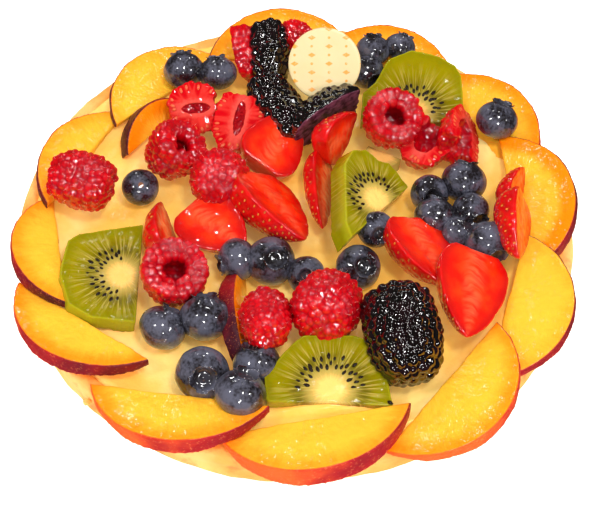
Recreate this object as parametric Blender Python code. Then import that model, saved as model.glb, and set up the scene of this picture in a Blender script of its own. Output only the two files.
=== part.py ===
"""Fruit tart: a shallow shortcrust shell filled with custard, ringed with shingled
nectarine slices and heaped with kiwi, berries and one white chocolate disc.

Units are metres, +Z is up, and the origin is the middle of the crust's flat underside.
"""
import math

import bmesh
import bpy
from mathutils import Matrix, Vector

MM = 0.001
TOUCH_GAP = 0.3 * MM            # room left between two pieces that touch
CUT_GROWTH = 0.5 * MM           # how far a piece is swollen before it dents its neighbours
WELD_DISTANCES = (0.12 * MM, 0.06 * MM, 0.02 * MM, 0.005 * MM, 0.001 * MM)

CRUST_RADIUS = 100 * MM
CRUST_HEIGHT = 14 * MM
CRUST_WALL = 6 * MM
CRUST_FLOOR = 5 * MM
CRUST_SEGMENTS = 60

CUSTARD_TOP = 13.5 * MM
CUSTARD_REST = CUSTARD_TOP + TOUCH_GAP
RIM_REST = CRUST_HEIGHT + TOUCH_GAP

RIM_REACH = 82 * MM              # pieces centred further out than this lie over the rim

DISC_RADIUS = 13.4 * MM
DISC_THICKNESS = 1.8 * MM
DISC_LEAN = 40                  # degrees back from flat
DISC_PLACE = (11 * MM, 55 * MM)
DISC_LIFT = 14 * MM             # its foot stands on the berries below

DRUPE_COLUMNS = 12
DRUPE_STUD = 0.6 * MM
BRAMBLE_ROWS = 7
RASPBERRY_ROWS = 5
RASPBERRY_HOLE = 0.17           # hole radius as a share of the width
DRUPE_HOLE_DEPTH = 0.55         # hole depth as a share of the height
DRUPE_OPEN_SPREAD = 0.60        # how far along its swell the outline goes, as a share of a half wave
DRUPE_CLOSED_SPREAD = 0.76

COLOURS = {
    "crust": (0.90, 0.62, 0.27, 1.0),
    "custard": (0.93, 0.70, 0.24, 1.0),
    "nectarine": (0.98, 0.62, 0.08, 1.0),
    "kiwi": (0.38, 0.46, 0.03, 1.0),
    "raspberry": (0.62, 0.01, 0.04, 1.0),
    "strawberry": (0.85, 0.06, 0.02, 1.0),
    "bramble": (0.03, 0.01, 0.03, 1.0),
    "blueberry": (0.06, 0.08, 0.16, 1.0),
    "chocolate": (0.98, 0.93, 0.76, 1.0),
}


# ---------------------------------------------------------------- helpers

def make_materials():
    """One glazed Principled material for each kind of food."""
    materials = {}
    for name, colour in COLOURS.items():
        material = bpy.data.materials.new(name)
        material.use_nodes = True
        shader = material.node_tree.nodes["Principled BSDF"]
        shader.inputs["Base Color"].default_value = colour
        shader.inputs["Roughness"].default_value = 0.8 if name == "crust" else 0.25
        shader.inputs["Metallic"].default_value = 0.0
        material.diffuse_color = colour
        materials[name] = material
    return materials


def skin_rings(bm, rings):
    """Joins rings of equal count; a ring of one point is a pole, and open ends get a cap."""
    rows = [[bm.verts.new(point) for point in ring] for ring in rings]
    for lower, upper in zip(rows, rows[1:]):
        count = max(len(lower), len(upper))
        for i in range(count):
            k = (i + 1) % count
            if len(lower) == 1:
                bm.faces.new((lower[0], upper[k], upper[i]))
            elif len(upper) == 1:
                bm.faces.new((lower[i], lower[k], upper[0]))
            else:
                bm.faces.new((lower[i], lower[k], upper[k], upper[i]))
    if len(rows[0]) > 1:
        bm.faces.new(list(reversed(rows[0])))
    if len(rows[-1]) > 1:
        bm.faces.new(rows[-1])
    bmesh.ops.recalc_face_normals(bm, faces=bm.faces)
    return bm


def ring_points(radius, height, count, phase=0.0):
    """A level ring of points, or a single pole where the radius is nothing."""
    if radius <= 0.0:
        return [Vector((0.0, 0.0, height))]
    step = math.tau / count
    return [Vector((radius * math.cos((i + phase) * step), radius * math.sin((i + phase) * step), height))
            for i in range(count)]


def slice_off(bm, point, normal):
    """Cuts the solid with a plane, keeps what lies behind it and closes the cut."""
    geometry = bm.verts[:] + bm.edges[:] + bm.faces[:]
    bmesh.ops.bisect_plane(bm, geom=geometry, dist=1e-7, plane_co=point, plane_no=normal,
                           clear_outer=True)
    rim = [edge for edge in bm.edges if edge.is_boundary]
    bmesh.ops.holes_fill(bm, edges=rim, sides=0)
    bmesh.ops.recalc_face_normals(bm, faces=bm.faces)
    return bm


def turn(tilt, heading, spin=0.0):
    """Spins about the piece's own axis, tips that axis over, then swings it to a heading."""
    return (Matrix.Rotation(math.radians(heading), 4, "Z")
            @ Matrix.Rotation(math.radians(tilt), 4, "Y")
            @ Matrix.Rotation(math.radians(spin), 4, "Z"))


def new_object(name, bm, material):
    """Wraps a bmesh as an object with its material and soft shading."""
    mesh = bpy.data.meshes.new(name)
    bm.to_mesh(mesh)
    bm.free()
    mesh.materials.append(material)
    mesh.shade_smooth()
    mesh.set_sharp_from_angle(angle=math.radians(40))
    piece = bpy.data.objects.new(name, mesh)
    bpy.context.collection.objects.link(piece)
    return piece


def lay_down(piece, rotation, x, y, rest):
    """Turns a piece and lowers it until its lowest point is at the resting height."""
    lowest = min((rotation @ vertex.co).z for vertex in piece.data.vertices)
    piece.matrix_world = Matrix.Translation((x, y, rest - lowest)) @ rotation
    bpy.context.view_layer.update()
    return piece


def world_box(piece):
    """Lowest and highest corners of a piece."""
    points = [piece.matrix_world @ vertex.co for vertex in piece.data.vertices]
    low = Vector([min(point[axis] for point in points) for axis in range(3)])
    high = Vector([max(point[axis] for point in points) for axis in range(3)])
    return low, high


def boolean(piece, other, operation):
    """Applies one exact Boolean with an object or a collection; a cut keeps the largest body."""
    modifier = piece.modifiers.new("cut", "BOOLEAN")
    modifier.operation = operation
    modifier.solver = "EXACT"
    if isinstance(other, bpy.types.Collection):
        modifier.operand_type = "COLLECTION"
        modifier.collection = other
    else:
        modifier.object = other
    material = piece.data.materials[0]
    bpy.context.view_layer.update()
    result = bpy.data.meshes.new_from_object(
        piece.evaluated_get(bpy.context.evaluated_depsgraph_get()))
    piece.modifiers.clear()
    bm = bmesh.new()
    bm.from_mesh(result)
    if operation == "DIFFERENCE":
        keep_largest_body(bm)
    for face in bm.faces:
        face.material_index = 0
    for weld in WELD_DISTANCES:
        thinned = thin_out(bm, weld)
        closed = is_closed(thinned)
        thinned.to_mesh(result)
        thinned.free()
        if closed:
            break
    bm.free()
    result.materials.clear()
    result.materials.append(material)
    piece.data = result


def thin_out(bm, weld):
    """A lighter copy: very short edges are closed up and flat facets are merged."""
    thinned = bm.copy()
    bmesh.ops.remove_doubles(thinned, verts=thinned.verts, dist=weld)
    bmesh.ops.dissolve_degenerate(thinned, edges=thinned.edges, dist=weld / 10)
    bmesh.ops.dissolve_limit(thinned, angle_limit=math.radians(1.0), verts=thinned.verts,
                             edges=thinned.edges)
    bmesh.ops.triangulate(thinned, faces=thinned.faces)
    return thinned


def is_closed(bm):
    """True where every edge joins two faces and the skin doesn't touch itself."""
    return (all(edge.is_manifold for edge in bm.edges)
            and all(vertex.is_manifold for vertex in bm.verts))


def keep_largest_body(bm):
    """Drops crumbs that a cut may leave loose."""
    unseen = set(bm.faces)
    bodies = []
    while unseen:
        body = {unseen.pop()}
        edge_of = list(body)
        while edge_of:
            face = edge_of.pop()
            for edge in face.edges:
                for neighbour in edge.link_faces:
                    if neighbour in unseen:
                        unseen.discard(neighbour)
                        body.add(neighbour)
                        edge_of.append(neighbour)
        bodies.append(body)
    bodies.sort(key=lambda body: sum(face.calc_area() for face in body), reverse=True)
    crumbs = [face for body in bodies[1:] for face in body]
    bmesh.ops.delete(bm, geom=crumbs, context="FACES")


def swollen_copy(piece):
    """A slightly larger wire hull of a piece, used to dent what it presses on.

    A cluster keeps its own outline, because its berries have gaps between them.
    """
    mesh = piece.data.copy()
    bm = bmesh.new()
    bm.from_mesh(mesh)
    if not piece.name.startswith("blueberries"):
        hull = bmesh.ops.convex_hull(bm, input=bm.verts)["geom"]
        skin = {part for part in hull if isinstance(part, bmesh.types.BMFace)}
        inner = [face for face in bm.faces if face not in skin]
        bmesh.ops.delete(bm, geom=inner, context="FACES_ONLY")
        loose = [edge for edge in bm.edges if not edge.link_faces]
        bmesh.ops.delete(bm, geom=loose, context="EDGES")
        bmesh.ops.recalc_face_normals(bm, faces=bm.faces)
    bm.normal_update()
    moves = [(vertex, vertex.normal * min(vertex.calc_shell_factor(), 2.0)) for vertex in bm.verts]
    for vertex, move in moves:
        vertex.co += move * CUT_GROWTH
    bm.to_mesh(mesh)
    bm.free()
    cutter = bpy.data.objects.new("press_" + piece.name, mesh)
    cutter.matrix_world = piece.matrix_world
    cutter.hide_render = True
    cutter.display_type = "WIRE"
    bpy.context.collection.objects.link(cutter)
    return cutter


def boxes_meet(one, two):
    """True where two boxes come within the touching gap of each other."""
    return all(one[0][axis] <= two[1][axis] + TOUCH_GAP and two[0][axis] <= one[1][axis] + TOUCH_GAP
               for axis in range(3))


def press_together(pieces):
    """Dents each piece with every later one that it would otherwise run into."""
    boxes = [world_box(piece) for piece in pieces]
    cutters = [swollen_copy(piece) for piece in pieces]
    pressing = bpy.data.collections.new("pressing")
    for lower, piece in enumerate(pieces):
        for upper in range(lower + 1, len(pieces)):
            if boxes_meet(boxes[lower], boxes[upper]):
                pressing.objects.link(cutters[upper])
        if pressing.objects:
            boolean(piece, pressing, "DIFFERENCE")
        for cutter in list(pressing.objects):
            pressing.objects.unlink(cutter)
    for cutter in cutters:
        bpy.data.objects.remove(cutter, do_unlink=True)
    bpy.data.collections.remove(pressing)


# ---------------------------------------------------------------- shapes

def crust_shape():
    """A shallow pan turned from its section, with a softly rounded rim."""
    inner = CRUST_RADIUS - CRUST_WALL
    soft = 1.5 * MM
    section = [
        (0.0, 0.0),
        (CRUST_RADIUS - soft, 0.0),
        (CRUST_RADIUS, soft),
        (CRUST_RADIUS, CRUST_HEIGHT - soft),
        (CRUST_RADIUS - soft, CRUST_HEIGHT),
        (inner, CRUST_HEIGHT),
        (inner, CRUST_FLOOR),
        (0.0, CRUST_FLOOR),
    ]
    return skin_rings(bmesh.new(), [ring_points(r, z, CRUST_SEGMENTS) for r, z in section])


def custard_shape():
    """The filling, from the crust's floor up to just under its rim."""
    radius = CRUST_RADIUS - CRUST_WALL - TOUCH_GAP
    bottom = CRUST_FLOOR + TOUCH_GAP
    section = [(0.0, bottom), (radius, bottom), (radius, CUSTARD_TOP), (0.0, CUSTARD_TOP)]
    return skin_rings(bmesh.new(), [ring_points(r, z, CRUST_SEGMENTS) for r, z in section])


def nectarine_shape(length, depth, wedge, stations=9, skin_steps=2):
    """A wedge of fruit: straight inner edge along X, skin bulging to +Y, lower cut face flat.

    The fruit's own radius follows from the chord and the depth of the slice.
    """
    radius = (length * length / 4 + depth * depth) / (2 * depth)
    core = radius - depth
    wedge = math.radians(wedge)
    half = length / 2 * 0.985
    rings = []
    for i in range(stations):
        x = -half * math.cos(math.pi * i / (stations - 1))
        outer = math.sqrt(radius * radius - x * x)
        inner = min(core, outer - 0.4 * MM)
        ring = [Vector((x, inner - core, 0.0))]
        for k in range(skin_steps + 1):
            angle = wedge * k / skin_steps
            ring.append(Vector((x, outer * math.cos(angle) - core, outer * math.sin(angle))))
        ring.append(Vector((x, inner * math.cos(wedge) - core, inner * math.sin(wedge))))
        rings.append(ring)
    return skin_rings(bmesh.new(), rings)


def kiwi_shape(corners, thickness, flare):
    """A peeled half slice with straight knife facets, a little wider at its foot when it flares."""
    top = [Vector((x * MM, y * MM, thickness)) for x, y in corners]
    foot = [Vector((x * MM * flare, y * MM * flare, 0.0)) for x, y in corners]
    return skin_rings(bmesh.new(), [foot, top])


def blueberry_shape(radius, segments=9):
    """A slightly flattened ball with a raised, dished crown on top."""
    flat = 0.88
    rings = []
    for latitude in (-90, -48, -12, 24, 54):
        angle = math.radians(latitude)
        ring_radius = 0.0 if latitude == -90 else radius * math.cos(angle)
        rings.append(ring_points(ring_radius, flat * radius * math.sin(angle), segments))
    rings.append(ring_points(0.36 * radius, 0.93 * radius, segments))
    rings.append(ring_points(0.0, 0.72 * radius, segments))
    return skin_rings(bmesh.new(), rings)


def drupe_shape(width, height, columns, rows, stud, hole=0.0, hole_depth=0.0):
    """A studded dome, tip down; every other point of the net stands out.

    The upper end stays wide round the hole of a picked berry and is rounded off otherwise.
    """
    spread = DRUPE_OPEN_SPREAD if hole > 0.0 else DRUPE_CLOSED_SPREAD
    rings = [[Vector((0.0, 0.0, -height / 2))]]
    for row in range(rows):
        t = (row + 1) / (rows + 0.35)
        swell = math.sin(math.pi * (0.06 + spread * t)) ** 0.75
        level = -height / 2 + height * (1 - math.cos(math.pi * t * 0.92)) / 2
        ring = []
        for column in range(columns):
            raised = stud if (row + column) % 2 == 0 else -stud
            angle = math.tau * column / columns
            radius = width / 2 * swell + raised
            ring.append(Vector((radius * math.cos(angle), radius * math.sin(angle), level)))
        rings.append(ring)
    top = height / 2
    if hole > 0.0:
        rings.append(ring_points(hole * 1.25, top, columns))
        rings.append(ring_points(hole, top - hole_depth * 0.25, columns))
        rings.append(ring_points(0.0, top - hole_depth, columns))
    else:
        rings.append(ring_points(0.0, top, columns))
    return skin_rings(bmesh.new(), rings)


def strawberry_shape(width, length, segments=12):
    """A heart-shaped berry with its tip up, before it is cut."""
    rings = [[Vector((0.0, 0.0, -length * 0.5))]]
    for t in (0.02, 0.14, 0.34, 0.56, 0.76, 0.92):
        radius = width / 2 * (1 - t ** 2.1) ** 0.72 * (1 - 0.42 * (1 - t) ** 9)
        rings.append(ring_points(radius, length * (t - 0.48), segments))
    rings.append([Vector((0.0, 0.0, length * 0.5))])
    return skin_rings(bmesh.new(), rings)


def disc_shape():
    """The flat chocolate disc, with a small chamfer round each face."""
    soft = 0.35 * MM
    half = DISC_THICKNESS / 2
    section = [(DISC_RADIUS - soft, -half), (DISC_RADIUS, -half + soft),
               (DISC_RADIUS, half - soft), (DISC_RADIUS - soft, half)]
    return skin_rings(bmesh.new(), [ring_points(r, z, 32) for r, z in section])


# ---------------------------------------------------------------- layout, in millimetres and degrees

# name: x and y of the inner edge's middle, the way the skin faces, chord, depth, wedge angle,
# how far the leading end is raised, and the lift of the whole slice
RIM_SLICES = {
    "nectarine_02": (35, 69, 76, 56, 22, 15, 3, 0),
    "nectarine_01": (-4, 75, 92, 60, 24, 15, 5, 0),
    "nectarine_12": (-48, 58.5, 135, 55, 20, 15, 5, 0),
    "nectarine_11": (-77, 25, 153, 54, 16, 14, 4, 0),
    "nectarine_10": (-83, -17, 191, 52, 17, 15, 5, 0),
    "nectarine_09": (-72, -48, 233, 60, 19, 12, 5, 0),
    "nectarine_03": (67, 39, 30, 58, 24, 16, 3, 0),
    "nectarine_04": (78, 3, 5, 60, 23, 19, 5, 0),
    "nectarine_05": (72, -41, -17, 60, 23, 11, 5, 0),
    "nectarine_06": (48, -73, -40, 61, 24, 11, 5, 0),
    "nectarine_07": (6, -87, -82, 63, 22, 15, 5, 0),
    "nectarine_08": (-38, -78, -102, 61, 20, 12, 6, 0),
}

# name: width, height, cut-open half?, tilt, heading, spin, x, y, lift, open at its wide end?
RASPBERRIES = {
    "raspberry_14": (16, 15, False, 150, 80, 0, 0, 79, 3, False),
    "raspberry_13": (18, 21, True, 75, 95, 60, -20, 71, 3, True),
    "raspberry_12": (21, 21, True, 80, -100, 125, 63, 31.5, 2, True),
    "raspberry_11": (21, 22, True, 80, 60, 175, 48, 28, 1, True),
    "raspberry_10": (22, 18, False, 28, -60, 0, 35, 36, 2, True),
    "raspberry_09": (24, 23, False, 120, 70, 0, 10, -48.5, 0, False),
    "raspberry_08": (18, 25, False, 120, 95, 0, -10, -52, 0, False),
    "raspberry_07": (23, 17, False, 15, -40, 0, -42, -33, 0, True),
    "raspberry_05": (20, 24, True, 75, 80, 180, -21, 36, 2, False),
    "raspberry_04": (20, 18, True, 90, 5, 215, -38, 42, 3, False),
    "raspberry_03": (22, 21, False, 150, 80, 0, -27, 7.5, 1, False),
    "raspberry_02": (21, 18, False, 38, 0, 0, -45, 22, 1, True),
    "raspberry_01": (21, 23, False, 95, -15, 0, -76, 6, 4, False),
}

# name: width, length, cut planes' angles, tilt, heading, spin, x, y, lift
STRAWBERRIES = {
    "strawberry_10": (15, 18, (0,), 90, 70, 250, 79, 4, 6),
    "strawberry_08": (22, 27, (0,), 90, -100, 112, 78, -16, 5),
    "strawberry_06": (27, 31, (0,), 90, -70, 152, 45, -23.5, 0),
    "strawberry_07": (28, 36, (0,), 90, -100, 158, 59, -42.5, 1),
    "strawberry_05": (20, 22, (0,), 90, 60, 260, 17, 28, 5),
    "strawberry_04": (16, 34, (0,), 90, -92, 120, 10, 7, 0),
    "strawberry_03": (25, 28, (0,), 90, -45, 192, -28, -12, 0),
    "strawberry_09": (18, 22, (0,), 90, 100, 245, -46, -10, 0),
    "strawberry_02": (30, 35, (0,), 90, -60, 140, -6, -4.5, 0),
    "strawberry_01": (25, 28, (0,), 90, 62, 205, -6, 28, 0),
}

# name: width, height, cut-open half?, tilt, heading, spin, x, y, lift, open at its wide end?
BRAMBLES = {
    "bramble_01": (17, 25, False, 70, 95, 0, -10, 70, 4, False),
    "bramble_02": (18, 29, False, 85, 120, 0, -6, 44, 1, False),
    "bramble_03": (22, 29, True, 85, 35, 280, 12, 37, 1, False),
    "bramble_04": (26, 33, False, 80, 100, 0, 35, -59.5, 0, False),
}

# cluster: berries, each with x, y, radius, crown tilt, crown heading, lift
BLUEBERRIES = {
    "blueberries_01": ((-42.4, 63, 7.9, 60, 100, 4), (-29.5, 62.5, 7.4, 40, 100, 4)),
    "blueberries_03": ((-56, 9, 6.7, 148, 107, 0),),
    "blueberries_04": ((30, 73, 6.8, 30, 90, 6), (27.5, 64, 6.8, 90, -60, 3), (40.5, 74, 6.2, 60, 60, 6)),
    "blueberries_07": ((74.5, 36, 7.9, 35, 60, 5),),
    "blueberries_08": ((60.5, 9.5, 8.4, 50, 80, 1), (62, -3, 7.2, 80, -60, 0),
                       (49.5, -5, 7.6, 60, 80, 0), (48, 5, 7.0, 55, -80, 1),
                       (57.5, -12, 6.8, 40, 0, 0), (67, -17.5, 8.3, 90, -70, 0)),
    "blueberries_15": ((21.5, -27.5, 8.0, 35, -60, 0),),
    "blueberries_16": ((-8.6, -25, 8.7, 30, -60, 0), (3.6, -30, 6.8, 45, -90, 0),
                       (-20.2, -24, 7.6, 90, 200, 0)),
    "blueberries_19": ((-44.6, -52.6, 8.1, 55, 50, 0), (-30.5, -49, 8.9, 45, 90, 0)),
    "blueberries_21": ((-30.6, -71, 9.0, 48, -80, 0), (-18, -79.5, 8.6, 35, 60, 2),
                       (-13, -66.5, 8.0, 30, 100, 0)),
    "blueberries_14": ((28, -14, 6.6, 60, -80, 5),),
}

# name: thickness, flare, tilt, heading, spin, x, y, lift, and the knife's corners round the top
# face, seen from the core's middle; the first corner and the last end the straight cut side
KIWI_SLICES = {
    "kiwi_02": (7, 1.0, 22, -90, 0, 44.5, 47, 0, (
        (4, 19), (-15, 18.5), (-19, 16.5), (-23, 10), (-25.5, 0),
        (-22, -9), (-12.5, -14), (-8, -19), (4, -20))),
    "kiwi_05": (5, 1.0, 15, 60, 0, 31, 24, 0, (
        (3, 7), (-3, 6), (-6, 0), (-3, -6), (3, -7))),
    "kiwi_03": (8, 1.1, 30, 0, -41, 24.5, -3, 0, (
        (3, 18), (-8, 19), (-11, 15.5), (-17, 14), (-19.5, 8), (-17, 0), (0, -20), (5.5, -23))),
    "kiwi_04": (7, 1.02, 14, -90, 0, 11, -76, 1, (
        (5.5, 20), (-4, 18.5), (-16, 14), (-18.5, 8), (-19, -1),
        (-18.5, -9), (-15, -13), (-4.5, -21.5), (4, -20.5))),
    "kiwi_01": (6, 1.03, 10, 0, 0, -61, -30, 0, (
        (6, 23), (-16, 16), (-19.5, 12.5), (-20.5, 5), (-21, -2), (-17, -14), (-9, -18.5), (6, -19))),
}


def rest_height(x, y):
    """Pieces over the rim rest on the crust, and the others on the custard."""
    return RIM_REST if math.hypot(x, y) > RIM_REACH else CUSTARD_REST


def place_rim_slices(material):
    placed = []
    for name, (x, y, facing, chord, depth, wedge, pitch, lift) in RIM_SLICES.items():
        shape = nectarine_shape(chord * MM, depth * MM, wedge)
        piece = new_object(name, shape, material)
        rotation = (Matrix.Rotation(math.radians(facing - 90), 4, "Z")
                    @ Matrix.Rotation(math.radians(pitch), 4, "Y"))
        placed.append(lay_down(piece, rotation, x * MM, y * MM, RIM_REST + lift * MM))
    return placed


def place_inner_nectarines(material):
    """Two slivers that lean among the berries, each with its skin on the higher side."""
    placed = []
    leaning = {
        "nectarine_13": (34, 10, 32, 52, 20, -54, 42, 0),
        "nectarine_14": (46, 13, 14, 94, 55, -19, -46, 0),
    }
    for name, (chord, depth, wedge, heading, roll, x, y, lift) in leaning.items():
        shape = nectarine_shape(chord * MM, depth * MM, wedge)
        piece = new_object(name, shape, material)
        rotation = (Matrix.Rotation(math.radians(heading), 4, "Z")
                    @ Matrix.Rotation(math.radians(roll), 4, "X"))
        placed.append(lay_down(piece, rotation, x * MM, y * MM, CUSTARD_REST + lift * MM))
    return placed


def place_drupes(table, material, rows):
    placed = []
    for name, (width, height, halved, tilt, heading, spin, x, y, lift, open_ended) in table.items():
        hole = RASPBERRY_HOLE * width * MM if open_ended else 0.0
        depth = DRUPE_HOLE_DEPTH * height * MM
        shape = drupe_shape(width * MM, height * MM, DRUPE_COLUMNS, rows, DRUPE_STUD, hole, depth)
        if halved:
            slice_off(shape, Vector((0, 0, 0)), Vector((1, 0, 0)))
        piece = new_object(name, shape, material)
        x, y = x * MM, y * MM
        placed.append(lay_down(piece, turn(tilt, heading, spin), x, y, rest_height(x, y) + lift * MM))
    return placed


def place_strawberries(material):
    placed = []
    for name, (width, length, cuts, tilt, heading, spin, x, y, lift) in STRAWBERRIES.items():
        shape = strawberry_shape(width * MM, length * MM)
        for cut in cuts:
            angle = math.radians(cut)
            slice_off(shape, Vector((0.4 * MM, 0, 0)), Vector((math.cos(angle), math.sin(angle), 0)))
        piece = new_object(name, shape, material)
        x, y = x * MM, y * MM
        placed.append(lay_down(piece, turn(tilt, heading, spin), x, y, rest_height(x, y) + lift * MM))
    return placed


def place_blueberries(material):
    placed = []
    for name, berries in BLUEBERRIES.items():
        cluster = None
        for x, y, radius, tilt, heading, lift in berries:
            shape = blueberry_shape(radius * MM)
            berry = new_object(name, shape, material)
            x, y = x * MM, y * MM
            lay_down(berry, turn(tilt, heading), x, y, rest_height(x, y) + lift * MM)
            if cluster is None:
                cluster = berry
            else:
                boolean(cluster, berry, "UNION")
                bpy.data.objects.remove(berry, do_unlink=True)
        cluster.name = name
        placed.append(cluster)
    return placed


def place_kiwi(material):
    placed = []
    for name, row in KIWI_SLICES.items():
        thickness, flare, tilt, heading, spin, x, y, lift, corners = row
        shape = kiwi_shape(corners, thickness * MM, flare)
        piece = new_object(name, shape, material)
        x, y = x * MM, y * MM
        placed.append(lay_down(piece, turn(tilt, heading, spin), x, y, rest_height(x, y) + lift * MM))
    return placed


def place_disc(material):
    """The disc stands on edge among the berries and leans back."""
    piece = new_object("chocolate_disc", disc_shape(), material)
    x, y = DISC_PLACE
    return [lay_down(piece, turn(DISC_LEAN, -90), x, y, CUSTARD_REST + DISC_LIFT)]


def main():
    for old in list(bpy.data.objects):
        bpy.data.objects.remove(old, do_unlink=True)
    materials = make_materials()
    new_object("crust", crust_shape(), materials["crust"])
    new_object("custard", custard_shape(), materials["custard"])
    stack = place_rim_slices(materials["nectarine"])
    stack += place_inner_nectarines(materials["nectarine"])
    stack += place_blueberries(materials["blueberry"])
    stack += place_kiwi(materials["kiwi"])
    stack += place_drupes(BRAMBLES, materials["bramble"], BRAMBLE_ROWS)
    stack += place_strawberries(materials["strawberry"])
    stack += place_drupes(RASPBERRIES, materials["raspberry"], RASPBERRY_ROWS)
    stack += place_disc(materials["chocolate"])
    press_together(stack)


main()
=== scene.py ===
import math
import random

import bmesh
import bpy
import numpy as np
from mathutils import Matrix, Vector
from mathutils.kdtree import KDTree


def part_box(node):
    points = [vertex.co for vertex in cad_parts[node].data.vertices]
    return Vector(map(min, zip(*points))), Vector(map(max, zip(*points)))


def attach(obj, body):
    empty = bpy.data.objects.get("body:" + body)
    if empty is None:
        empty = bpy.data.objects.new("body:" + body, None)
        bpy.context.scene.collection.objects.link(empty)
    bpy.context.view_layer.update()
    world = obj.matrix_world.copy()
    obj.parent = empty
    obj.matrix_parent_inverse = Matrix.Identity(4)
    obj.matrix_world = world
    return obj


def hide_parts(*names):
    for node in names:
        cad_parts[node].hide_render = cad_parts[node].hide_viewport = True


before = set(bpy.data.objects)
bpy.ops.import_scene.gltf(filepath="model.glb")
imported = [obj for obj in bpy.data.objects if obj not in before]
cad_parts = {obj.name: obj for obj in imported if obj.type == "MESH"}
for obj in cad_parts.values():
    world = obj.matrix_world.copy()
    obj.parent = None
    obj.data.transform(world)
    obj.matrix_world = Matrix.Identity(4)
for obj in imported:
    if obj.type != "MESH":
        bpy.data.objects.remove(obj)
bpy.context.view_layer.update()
mm = 0.001
chance = random.Random(11)


# how the camera and the room are set up
studio = {
    "cameraDistance": 520,
    "cameraElevation": 52.4,
    "aim": (1.5, -12.7, 10),
    "lens": 84.6,
    # light from all round, its colour, and how much of it shows in wet surfaces
    "roomLight": 0.95,
    "roomTint": (1.0, 0.88, 0.76),
    "roomShine": 0.05,
    "floorGlow": 0.75,
    "lampStrength": 0.76,
    # name: direction to the lamp, its size in mm, its power
    "lamps": {
        "overhead": ((0.20, -0.32, 0.93), 150, 4.0),
        "left": ((-0.56, -0.28, 0.78), 100, 1.6),
        "front": ((0.02, -0.86, 0.51), 100, 1.7),
        "right": ((0.72, -0.38, 0.58), 84, 1.2),
        "back": ((-0.36, 0.76, 0.54), 60, 0.42),
        "backTwin": ((0.30, 0.80, 0.52), 60, 0.42),
        "backHigh": ((0.20, 0.46, 0.86), 54, 0.36),
        "backHighTwin": ((-0.24, 0.52, 0.82), 54, 0.36),
    },
    "lampDistance": 900,
}


def tint(red, green, blue):
    # a colour as the eye names it, 0 to 255, turned into light
    parts = []
    for part in (red, green, blue):
        part = part / 255
        parts.append(part / 12.92 if part <= 0.04045 else ((part + 0.055) / 1.055) ** 2.4)
    return (*parts, 1.0)


class Wire:
    # one output of a shader node; sums written with it become Math nodes
    def __init__(self, tree, socket=None):
        self.tree = tree
        self.socket = socket

    def node(self, kind, settings=None, inputs=None, output=0):
        made = self.tree.nodes.new("ShaderNode" + kind)
        for key, value in (settings or {}).items():
            if key == "stops":
                ramp = made.color_ramp
                while len(ramp.elements) < len(value):
                    ramp.elements.new(0.5)
                for element, (place, colour) in zip(ramp.elements, value):
                    element.position = place
                    element.color = tint(*colour)
            else:
                setattr(made, key, value)
        for key, value in (inputs or {}).items():
            if isinstance(value, Wire):
                self.tree.links.new(value.socket, made.inputs[key])
            else:
                made.inputs[key].default_value = value
        return Wire(self.tree, made.outputs[output])

    def maths(self, operation, *values):
        return self.node("Math", {"operation": operation}, dict(enumerate(values)))

    def __add__(self, other):
        return self.maths("ADD", self, other)

    def __radd__(self, other):
        return self.maths("ADD", other, self)

    def __sub__(self, other):
        return self.maths("SUBTRACT", self, other)

    def __rsub__(self, other):
        return self.maths("SUBTRACT", other, self)

    def __mul__(self, other):
        return self.maths("MULTIPLY", self, other)

    def __rmul__(self, other):
        return self.maths("MULTIPLY", other, self)

    def ramp(self, low, high):
        # 0 below low, 1 above high and a soft step between
        return self.node("MapRange", {"interpolation_type": "SMOOTHSTEP"},
                         {"Value": self, "From Min": low, "From Max": high})

    def mix(self, plain, marked):
        # plain colour where the wire is 0, marked colour where it is 1, each 0 to 255 or a wire
        plain, marked = [tint(*colour) if isinstance(colour, tuple) else colour
                         for colour in (plain, marked)]
        return self.node("Mix", {"data_type": "RGBA"}, {0: self, 6: plain, 7: marked}, 2)

    def size(self):
        return self.maths("ABSOLUTE", self)

    def here(self):
        # the place on the piece, in its own coordinates
        return self.node("TexCoord", output=3)

    def part(self, vector, axis):
        return self.node("SeparateXYZ", None, {0: vector}, axis)

    def vector(self, x, y, z):
        return self.node("CombineXYZ", None, {0: x, 1: y, 2: z})

    def number(self, name):
        return self.node("Attribute", {"attribute_name": name}, output=2)

    def place(self, name):
        return self.node("Attribute", {"attribute_name": name}, output=1)

    def stretch(self, vector, scale):
        return self.node("VectorMath", {"operation": "MULTIPLY"}, {0: vector, 1: scale})

    def noise(self, vector, scale, detail=2.0):
        return self.node("TexNoise", None, {"Vector": vector, "Scale": scale, "Detail": detail})


def startLook(name, fixed):
    look = bpy.data.materials.new(name)
    look.use_nodes = True
    shader = look.node_tree.nodes["Principled BSDF"]
    for key, value in fixed.items():
        shader.inputs[key].default_value = value
    return look, Wire(look.node_tree), shader


def feed(shader, socket, wire):
    wire.tree.links.new(wire.socket, shader.inputs[socket])


def feedBump(shader, height, strength, depth):
    bump = height.node("Bump", None, {"Strength": strength, "Distance": depth * mm, "Height": height})
    feed(shader, "Normal", bump)


def onlySelect(*pieces):
    bpy.ops.object.select_all(action="DESELECT")
    for piece in pieces:
        piece.select_set(True)
    bpy.context.view_layer.objects.active = pieces[0]


def startPiece(name, primitive, **settings):
    bpy.ops.object.select_all(action="DESELECT")
    primitive(**settings)
    piece = bpy.context.object
    piece.name = name
    return piece


def edit(piece, everything=False):
    onlySelect(piece)
    bpy.ops.object.mode_set(mode="EDIT")
    bpy.ops.mesh.select_all(action="SELECT" if everything else "DESELECT")


def squeeze(*shares):
    bpy.ops.transform.resize(value=shares, center_override=(0, 0, 0))


def leaveEdit():
    bpy.ops.object.mode_set(mode="OBJECT")


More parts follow.
